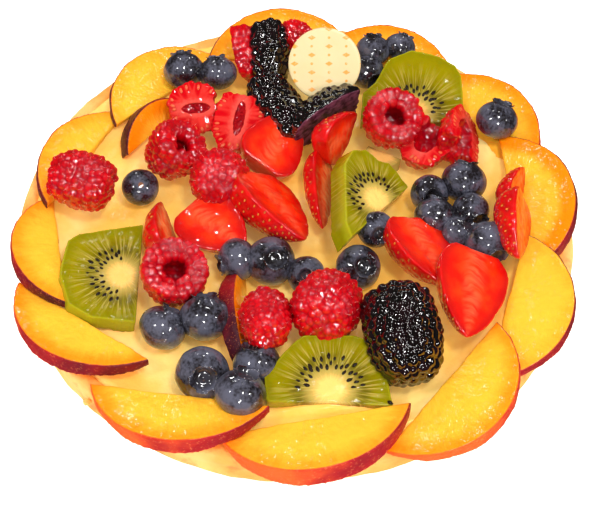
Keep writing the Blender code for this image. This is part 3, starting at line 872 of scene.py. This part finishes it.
# painted shade: the creases between drupelets are darkened towards the crease colour
creaseShaded = (crease.ramp(0.5, 1.0) * 0.5).mix(body, red["crease"])
fuzz = start.noise(start.stretch(own, (2.6, 2.6, 0.5)), 1.0, 2.0).ramp(0.60, 0.72)
downy = (fuzz * 0.03).mix(creaseShaded, (255, 130, 140))
cut = start.number("cutFace")
core = start.number("core")
# painted shade: inside the hollow left by the stalk the red is darkened
hollow = (1 - core.ramp(0.85, 1.15)) * (1 - cut)
outside = (hollow * 0.75).mix(downy, (fine.ramp(0.4, 0.6) * 0.5).mix((112, 2, 12), (186, 30, 34)))
sliced = (crease.ramp(0.60, 1.0) * 0.4 + (wide - 0.5) * 0.5).mix(red["cut"], red["wall"])
coreWall = 1 - (core - 1 + (fine - 0.5) * 1.2).ramp(0.0, 1.1)
sliced = (coreWall * 0.4).mix(sliced, red["core"])
feed(shader, "Base Color", cut.mix(outside, sliced))
feed(shader, "Coat Weight", 0.9 - cut * 0.7 - hollow * 0.5)
feedBump(shader, fine + fuzz * 0.3, 0.25, 0.18)
raspberryLook = look

look, start, shader = startLook("raspberrySeed", {"Roughness": 0.25, "IOR": 1.42,
                                                  "Subsurface Weight": 0.2,
                                                  "Subsurface Scale": 0.001})
feed(shader, "Base Color", start.noise(start.here(), 900.0, 2.0).mix(
    (214, 66, 42), (232, 116, 70)))
pipLook = look

look, start, shader = startLook("brambleFlesh", {"Roughness": 0.3, "IOR": 1.45,
                                                 "Specular IOR Level": 0.0,
                                                 "Coat IOR": 2.0, "Coat Roughness": 0.03})
own = start.place("own")
tone = (start.noise(own, 0.2, 2.0) + (start.noise(own, 1.2, 3.0) - 0.5) * 0.4).ramp(0.4, 0.75)
black = drupes["black"]
body = tone.mix(black["shaded"], black["bright"])
sliced = start.noise(own, 0.35, 3.0).ramp(0.3, 0.7).mix(black["cut"], black["wall"])
cut = start.number("cutFace")
feed(shader, "Base Color", cut.mix(body, sliced))
feed(shader, "Coat Weight", 1 - cut * 0.85)
feedBump(shader, start.noise(own, 0.45, 2.0), 0.25, 0.25)
brambleLook = look

hairs = []
hair = startPiece("hair", bpy.ops.mesh.primitive_cone_add, vertices=3, radius1=1, radius2=0.35, depth=1)
edit(hair, True)
bpy.ops.mesh.subdivide(number_cuts=1)
bpy.ops.transform.translate(value=(0, 0, 0.5))
leaveEdit()
pips = []
pip = startPiece("pip", bpy.ops.mesh.primitive_uv_sphere_add, segments=8, ring_count=6, radius=mm)
edit(pip)
pickFaces(pip, lambda middle, normal: normal.x > 0.4)
squeeze(1, 0.7, 0.7)
leaveEdit()
for table, kindName in (("raspberries", "raspberry"), ("brambles", "bramble")):
    look = raspberryLook if kindName == "raspberry" else brambleLook
    kind = drupes[kindName]
    for name, (width, tall, halved, tilt, heading, spin, x, y, lift, openEnd) in drupes[table].items():
        piece, tips = packDrupelets(name, kind, width, tall, openEnd)
        finishDrupelets(piece, kind, tips, halved, width, tall)
        matrix = layDown(piece, turn(tilt, heading, spin), x, y, restHeight(x, y) + lift)
        roughen(piece, *drupes["lumps"])
        present(piece, name.replace("_", "Whole" if not halved else "Half"), look, kindName, name)
        if kindName == "bramble":
            continue
        if not halved:
            for tip in chance.sample(tips, round(len(tips) * 0.55)):
                stray = Vector([chance.uniform(-0.7, 0.7) for axis in range(3)])
                facing = (tip.normalized() + stray).to_track_quat("Z", "Y").to_matrix().to_4x4()
                length = chance.uniform(0.9, 1.9)
                hairs.append(matrix @ Matrix.Translation(tip * mm) @ facing
                             @ Matrix.Diagonal((0.05 * mm, 0.05 * mm, length * mm, 1)))
            continue
        for tip in tips:
            if abs(tip.x) < 1.5 and tip.z < tall * 0.44 and chance.random() < 0.8:
                inward = Vector((0, tip.y, tip.z * 0.45)).normalized()
                spot = Vector((0, tip.y, tip.z)) - inward * 1.9
                lean = math.degrees(math.atan2(inward.z, inward.y))
                lying = (Matrix.Translation(spot * mm) @ turned(lean, "X")
                         @ Matrix.Diagonal((0.30, chance.uniform(0.8, 1.2), 0.55, 1)))
                pips.append(matrix @ lying)
seeds = scatter(pip, "raspberrySeeds", pips)
present(seeds, "raspberrySeeds", pipLook, "raspberry")
down = scatter(hair, "raspberryHairs", hairs)
look, start, shader = startLook("raspberryHair", {"Roughness": 0.5})
feed(shader, "Base Color", start.noise(start.here(), 200.0, 2.0).mix(
    (236, 120, 110), (255, 214, 196)))
present(down, "raspberryHairs", look, "raspberry")
print("raspberries and brambles ready")


# strawberries, cut lengthwise
strawberry = {
    "voxel": 0.45,
    "seedGap": 3.1,
    "dimple": 0.45,
    "lumps": ((6, 0.7), (1.8, 0.28)),
    "skin": (188, 2, 8),
    "flesh": (230, 22, 2),
    "bright": (248, 54, 8),
    "heart": (255, 130, 84),
    # name: width, length, angles of the cuts, tilt, heading, spin, x, y, lift
    "cuts": {
        "strawberry_10": (15, 18, (0,), 90, 70, 250, 79, 4, 6),
        "strawberry_08": (22, 27, (0,), 90, -100, 112, 78, -16, 5),
        "strawberry_06": (27, 31, (0,), 90, -70, 152, 45, -23.5, 0),
        "strawberry_07": (28, 36, (0,), 90, -100, 158, 59, -42.5, 1),
        "strawberry_05": (20, 22, (0,), 90, 60, 260, 17, 28, 5),
        "strawberry_04": (16, 34, (0,), 90, -92, 120, 10, 7, 0),
        "strawberry_03": (25, 28, (0,), 90, -45, 192, -28, -12, 0),
        "strawberry_09": (18, 22, (0,), 90, 100, 245, -46, -10, 0),
        "strawberry_02": (30, 35, (0,), 90, -60, 140, -6, -4.5, 0),
        "strawberry_01": (25, 28, (0,), 90, 62, 205, -6, 28, 0),
    },
}


def strawberryRadius(t, width):
    return width / 2 * max(0.0, 1 - t ** 2.1) ** 0.72 * (1 - 0.42 * (1 - t) ** 9)


look, start, shader = startLook("strawberryFlesh", {"Roughness": 0.28, "IOR": 1.42,
                                                    "Specular IOR Level": 0.15,
                                                    "Coat Weight": 0.8, "Coat IOR": 1.8,
                                                    "Coat Roughness": 0.04,
                                                    "Subsurface Weight": 0.25,
                                                    "Subsurface Radius": (1.0, 0.15, 0.1),
                                                    "Subsurface Scale": 0.002})
own = start.place("own")
under = start.number("underSkin")
inward = start.number("inward")
thick = start.part(own, 0)
across = start.part(own, 1)
along = start.part(own, 2)
outward = start.maths("SQRT", across * across + 9.0)
wide = start.noise(own, 0.16, 2.0)
fan = start.vector(along - outward * 0.9 + wide * 4, across * 0.22, thick * 0.3)
streaks = start.noise(fan, 0.5, 2.0)
flesh = (streaks * 0.12 + wide).ramp(0.38, 0.78).mix(
    strawberry["flesh"], strawberry["bright"])
margin = (1 - under.ramp(0.4, 6.5)) * 0.9
flesh = margin.mix(flesh, (184, 5, 8))
heart = (inward.ramp(0.55, 0.95) * streaks.ramp(0.30, 0.66) * 0.4).mix(flesh, strawberry["heart"])
redSkin = wide.ramp(0.35, 0.65).mix(strawberry["skin"], (212, 12, 10))
isSkin = 1 - under.ramp(0.35, 0.95)
feed(shader, "Base Color", isSkin.mix(heart, redSkin))
feedBump(shader, start.noise(own, 0.7, 2.0) + streaks * 0.1, 0.3, 0.22)
strawberryLook = look

section = [(strawberryRadius(t, 1), t - 0.48) for t in np.linspace(0.0, 0.995, 40)]
whole = raiseRings("strawberry", section, 64)
achenes = []
achene = startPiece("achene", bpy.ops.mesh.primitive_uv_sphere_add, segments=8, ring_count=6,
                    radius=mm)
edit(achene)
pickFaces(achene, lambda middle, normal: normal.x > 0.3)
squeeze(1, 0.7, 0.8)
leaveEdit()
for name, (width, length, cuts, tilt, heading, spin, x, y, lift) in strawberry["cuts"].items():
    piece = anotherOf(whole, name, Matrix.Identity(4))
    settle(piece, Matrix.Diagonal((width, width, length, 1)))
    edit(piece)
    for cut in cuts:
        bpy.ops.mesh.select_all(action="SELECT")
        away = (math.cos(math.radians(cut)), math.sin(math.radians(cut)), 0)
        bpy.ops.mesh.bisect(plane_co=(0.4 * mm, 0, 0), plane_no=away, use_fill=True, clear_outer=True)
    leaveEdit()
    knead(piece, strawberry["voxel"], 3)
    spots = points(piece)
    share = np.clip(spots[:, 2] / length + 0.48, 0, 0.999)
    skinAt = np.array([strawberryRadius(t, width) for t in share])
    out = np.hypot(spots[:, 0], spots[:, 1])
    markNumber(piece, "underSkin", np.minimum(skinAt - out, (share - 0.02) * length + 3))
    markNumber(piece, "inward", 1 - out / np.maximum(skinAt, 0.5))
    markPlace(piece, "own", spots)
    seedSpots = []
    total = int(math.pi * width * length * 0.75 / strawberry["seedGap"] ** 2)
    for i in range(total):
        t = 0.06 + 0.9 * (i + 0.5) / total
        bearing = i * 2.39996
        r = strawberryRadius(t, width)
        spot = Vector((r * math.cos(bearing), r * math.sin(bearing), length * (t - 0.48)))
        if any(spot.x * math.cos(math.radians(c)) + spot.y * math.sin(math.radians(c)) > -0.6 for c in cuts):
            continue
        slope = (strawberryRadius(t + 0.01, width) - strawberryRadius(t - 0.01, width)) / (0.02 * length)
        normal = Vector((math.cos(bearing), math.sin(bearing), -slope)).normalized()
        seedSpots.append((spot, normal))
    if seedSpots:
        middles = np.array([spot for spot, normal in seedSpots])
        normals = np.array([normal for spot, normal in seedSpots])
        gaps = np.linalg.norm(spots[:, None] - middles[None], axis=2)
        nearest = gaps.argmin(axis=1)
        dip = strawberry["dimple"] * np.exp(-(gaps.min(axis=1) / 0.95) ** 2)
        movePoints(piece, spots - normals[nearest] * dip[:, None])
    matrix = layDown(piece, turn(tilt, heading, spin), x, y, restHeight(x, y) + lift)
    roughen(piece, *strawberry["lumps"])
    present(piece, name.replace("_", "Cut"), strawberryLook, "strawberry", name)
    for spot, normal in seedSpots:
        facing = normal.to_track_quat("Z", "X").to_matrix().to_4x4()
        lying = (Matrix.Translation((spot - normal * 0.28) * mm) @ facing
                 @ Matrix.Diagonal((0.34, 0.56, 0.24, 1)))
        achenes.append(matrix @ lying)
bpy.data.objects.remove(whole)
seeds = scatter(achene, "strawberrySeeds", achenes)
look, start, shader = startLook("strawberrySeed", {"Roughness": 0.3})
feed(shader, "Base Color", start.noise(start.here(), 300.0, 2.0).ramp(0.35, 0.65).mix(
    (178, 66, 16), (226, 146, 54)))
present(seeds, "strawberrySeeds", look, "strawberry")
print("strawberries ready")


# white chocolate disc with a plain staggered pattern of dots and diamonds
disc = {
    "ivory": (218, 203, 158),
    "gold": (226, 150, 20),
    "pitch": 6.4,
    "lean": 40,
    "x": 11,
    "y": 55,
    "lift": 14,
}
radius = 13.4
steps = [radius * i / 12 for i in range(1, 12)]
section = [(r, 0) for r in steps]
section += [(radius - 0.4, 0), (radius - 0.1, 0.15), (radius, 0.45)]
section += [(radius, 1.35), (radius - 0.1, 1.65), (radius - 0.4, 1.8)]
section += [(r, 1.8) for r in reversed(steps)]
piece = raiseRings("chocolateDisc", section, 120)
edit(piece, True)
bpy.ops.transform.translate(value=(0, 0, -0.9 * mm))
leaveEdit()
markPlace(piece, "own", points(piece))
look, start, shader = startLook("whiteChocolate", {"Roughness": 0.34, "Subsurface Weight": 0.2,
                                                   "Subsurface Scale": 0.002})
own = start.place("own")
across = start.part(own, 0)
up = start.part(own, 1)
row = start.maths("FLOOR", up * (1 / disc["pitch"]) + 100.25)
odd = start.maths("MODULO", row, 2.0)
cellX = start.maths("FRACT", across * (1 / disc["pitch"]) + odd * 0.5 + 100.5) - 0.5
cellY = start.maths("FRACT", up * (1 / disc["pitch"]) + 100.25) - 0.5
diamond = cellX.size() * 1.7 + cellY.size()
dotX = cellX.size() - 0.5
dot = start.maths("SQRT", dotX * dotX + cellY * cellY)
wear = start.noise(own, 0.9, 3.0)
printed = start.maths("MAXIMUM", 1 - diamond.ramp(0.21, 0.25), 1 - dot.ramp(0.065, 0.09))
printed = printed * wear.ramp(0.22, 0.48) * 0.9
cream = start.noise(own, 0.12, 2.0).mix(disc["ivory"], (216, 197, 144))
feed(shader, "Base Color", printed.mix(cream, disc["gold"]))
feedBump(shader, start.noise(own, 0.35, 2.0), 0.2, 0.3)
layDown(piece, turn(disc["lean"], -90), disc["x"], disc["y"], custardRest + disc["lift"])
roughen(piece, (12, 0.3))
present(piece, "chocolateDisc", look, "chocolate", "chocolate_disc")
print("disc ready")


# crumbs off the crust, and scraps of dark berry between the fruit
scraps = {
    # middle, then half sizes, all in mm
    "crustCrumbs": ((-94.6, -34.6, 10, 1.6, 1.2, 1.0), (-69.4, -73.6, 9, 1.3, 1.5, 0.9),
                    (38.4, -94.8, 11, 1.0, 1.7, 1.6), (88.6, -45, 11, 1.1, 0.9, 0.8)),
    "berryScraps": ((15.0, -56.4, 20.4, 2.6, 1.6, 1.9), (11.8, -57.2, 19.4, 1.8, 1.3, 1.6),
                    (-29.1, 48.9, 20.6, 1.7, 1.4, 1.5), (-30.2, 40.3, 18.2, 1.5, 1.2, 1.3)),
}
for name, places in scraps.items():
    lump = startPiece("lump", bpy.ops.mesh.primitive_ico_sphere_add, subdivisions=3, radius=mm)
    piece = scatter(lump, name, [
        Matrix.Translation(Vector(place[:3]) * mm) @ Matrix.Rotation(chance.uniform(0, 3), 4, "Z")
        @ Matrix.Diagonal((*place[3:], 1)) for place in places])
    roughen(piece, (1.6, 0.9), (0.8, 0.35))
    markPlace(piece, "own", points(piece))
    look = crustLook if name == "crustCrumbs" else brambleLook
    present(piece, name, look, "crust" if name == "crustCrumbs" else "bramble")
print("crumbs ready")


# custard, with the glaze drawn up a little round everything that stands in it
custard = {
    "segments": 320,
    "lumps": ((16, 1.3), (5, 0.3)),
    "ringGap": 1.1,
    # how high it is drawn up a piece and how far out that reaches, in mm
    "byFruit": (1.5, 1.7),
    "bySlice": (3.9, 4.0),
    # soft mounds: middle, half length, half width, heading, height
    "mounds": ((11, -81.6, 20, 3.6, 0, 7.8), (-66, -8, 16, 7, 20, 2.0)),
    "pale": (255, 226, 142),
    "rich": (255, 200, 92),
    # darker orange round the fruit, and how far out it reaches: painted shade where the fruit shades the
    # custard, partly glaze pooled there
    "glazeAndShade": (255, 180, 68),
    "glazeAndShadeReach": 2.6,
}
low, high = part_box("custard")
outer = high.x / mm + 0.4
level = high.z / mm
section = [(outer, low.z / mm), (outer, level - 1)]
section += [(r, level - 0.1) for r in np.arange(outer - 0.4, 1, -custard["ringGap"])]
filling = raiseRings("custard", section, custard["segments"])


def footprint(pieces, below):
    # where the pieces stand, seen from above
    spots = np.concatenate([points(piece) for piece in pieces])
    spots = spots[spots[:, 2] < below][::3]
    tree = KDTree(len(spots))
    for i, spot in enumerate(spots):
        tree.insert((spot[0], spot[1], 0), i)
    tree.balance()
    return tree


slices = [piece for piece in served if piece.name.startswith("nectarineSlice")]
fruit = [piece for piece in served[1:] if piece not in slices and len(piece.data.vertices) > 5000]
gathered = np.zeros(len(filling.data.vertices))
treads = ((footprint(fruit, level + 2.2), custard["byFruit"]),
          (footprint(slices, level + 3.5), custard["bySlice"]))
spots = points(filling)
for i, (x, y, z) in enumerate(spots):
    if z < level - 0.5:
        continue
    apart = [tree.find((x, y, 0))[2] for tree, shape in treads]
    rises = [height * math.exp(-gap / out) for gap, (tree, (height, out)) in zip(apart, treads)]
    gathered[i] = math.exp(-apart[0] / custard["glazeAndShadeReach"])
    for middleX, middleY, long, wide, heading, height in custard["mounds"]:
        across = Matrix.Rotation(math.radians(-heading), 2) @ Vector((x - middleX, y - middleY))
        rises.append(height * math.exp(-(across.x / long) ** 2 - (across.y / wide) ** 2))
    spots[i][2] += max(rises) - 0.2
movePoints(filling, spots)
markNumber(filling, "gathered", gathered)
roughen(filling, *custard["lumps"])
look, start, shader = startLook("custardAndGlaze", {"Roughness": 0.22, "IOR": 1.42,
                                                    "Specular IOR Level": 0.35,
                                                    "Subsurface Weight": 0.25,
                                                    "Subsurface Radius": (1.0, 0.8, 0.5),
                                                    "Subsurface Scale": 0.003,
                                                    # painted light: a faint glow in the custard's own colour
                                                    # brightens its shaded parts
                                                    "Emission Strength": 0.17})
here = start.here()
swirl = start.noise(here, 42.0, 3.0)
base = swirl.ramp(0.32, 0.68).mix(custard["pale"], custard["rich"])
# painted shade: the custard turns a darker orange close to the fruit, partly glaze pooled there
pooledGlazeAndShade = start.number("gathered") * (swirl * 0.5 + 0.3)
creamy = pooledGlazeAndShade.mix(base, custard["glazeAndShade"])
feed(shader, "Base Color", creamy)
# painted light: the glow takes the custard's own colour
feed(shader, "Emission Color", creamy)
feedBump(shader, start.noise(here, 420.0, 2.0) + swirl * 2, 0.45, 0.5)
present(filling, "custardFilling", look, "custard", "custard")
print("custard ready")


# room: pale floor, a ring of small lamps for the glints, soft light from all round
floor = startPiece("floor", bpy.ops.mesh.primitive_plane_add, size=6)
edit(floor, True)
bpy.ops.mesh.subdivide(number_cuts=2)
leaveEdit()
look, start, shader = startLook("paleFloor", {"Base Color": (0.9, 0.9, 0.9, 1), "Roughness": 1.0,
                                              "Specular IOR Level": 0.0,
                                              "Emission Color": (1, 1, 1, 1),
                                              "Emission Strength": studio["floorGlow"]})
floor.data.materials.append(look)
floor.visible_glossy = False

world = bpy.data.worlds.new("room")
world.use_nodes = True
backdrop = world.node_tree.nodes["Background"]
backdrop.inputs["Color"].default_value = (*studio["roomTint"], 1)
shine = Wire(world.node_tree).node("LightPath", output=3)  # 1 where a wet surface mirrors the room
feed(backdrop, "Strength", (1 - shine * (1 - studio["roomShine"])) * studio["roomLight"])
bpy.context.scene.world = world
for name, (direction, size, power) in studio["lamps"].items():
    lamp = bpy.data.lights.new(name, "AREA")
    lamp.shape = "DISK"
    lamp.size = size * mm
    lamp.energy = power * studio["lampStrength"]
    holder = bpy.data.objects.new(name, lamp)
    bpy.context.scene.collection.objects.link(holder)
    holder.location = Vector(direction).normalized() * studio["lampDistance"] * mm
    holder.rotation_euler = Vector(direction).to_track_quat("Z", "Y").to_euler()

lens = bpy.data.cameras.new("camera")
camera = bpy.data.objects.new("camera", lens)
bpy.context.scene.collection.objects.link(camera)
elevation = math.radians(studio["cameraElevation"])
distance = studio["cameraDistance"] * mm
camera.location = (0, -distance * math.cos(elevation), distance * math.sin(elevation))
aim = Vector(studio["aim"]) * mm
camera.rotation_euler = (aim - camera.location).to_track_quat("-Z", "Y").to_euler()
lens.sensor_width = 36
lens.lens = studio["lens"]
lens.clip_start = 0.01
bpy.context.scene.camera = camera
bpy.context.scene.view_settings.view_transform = "Standard"
print("room ready")
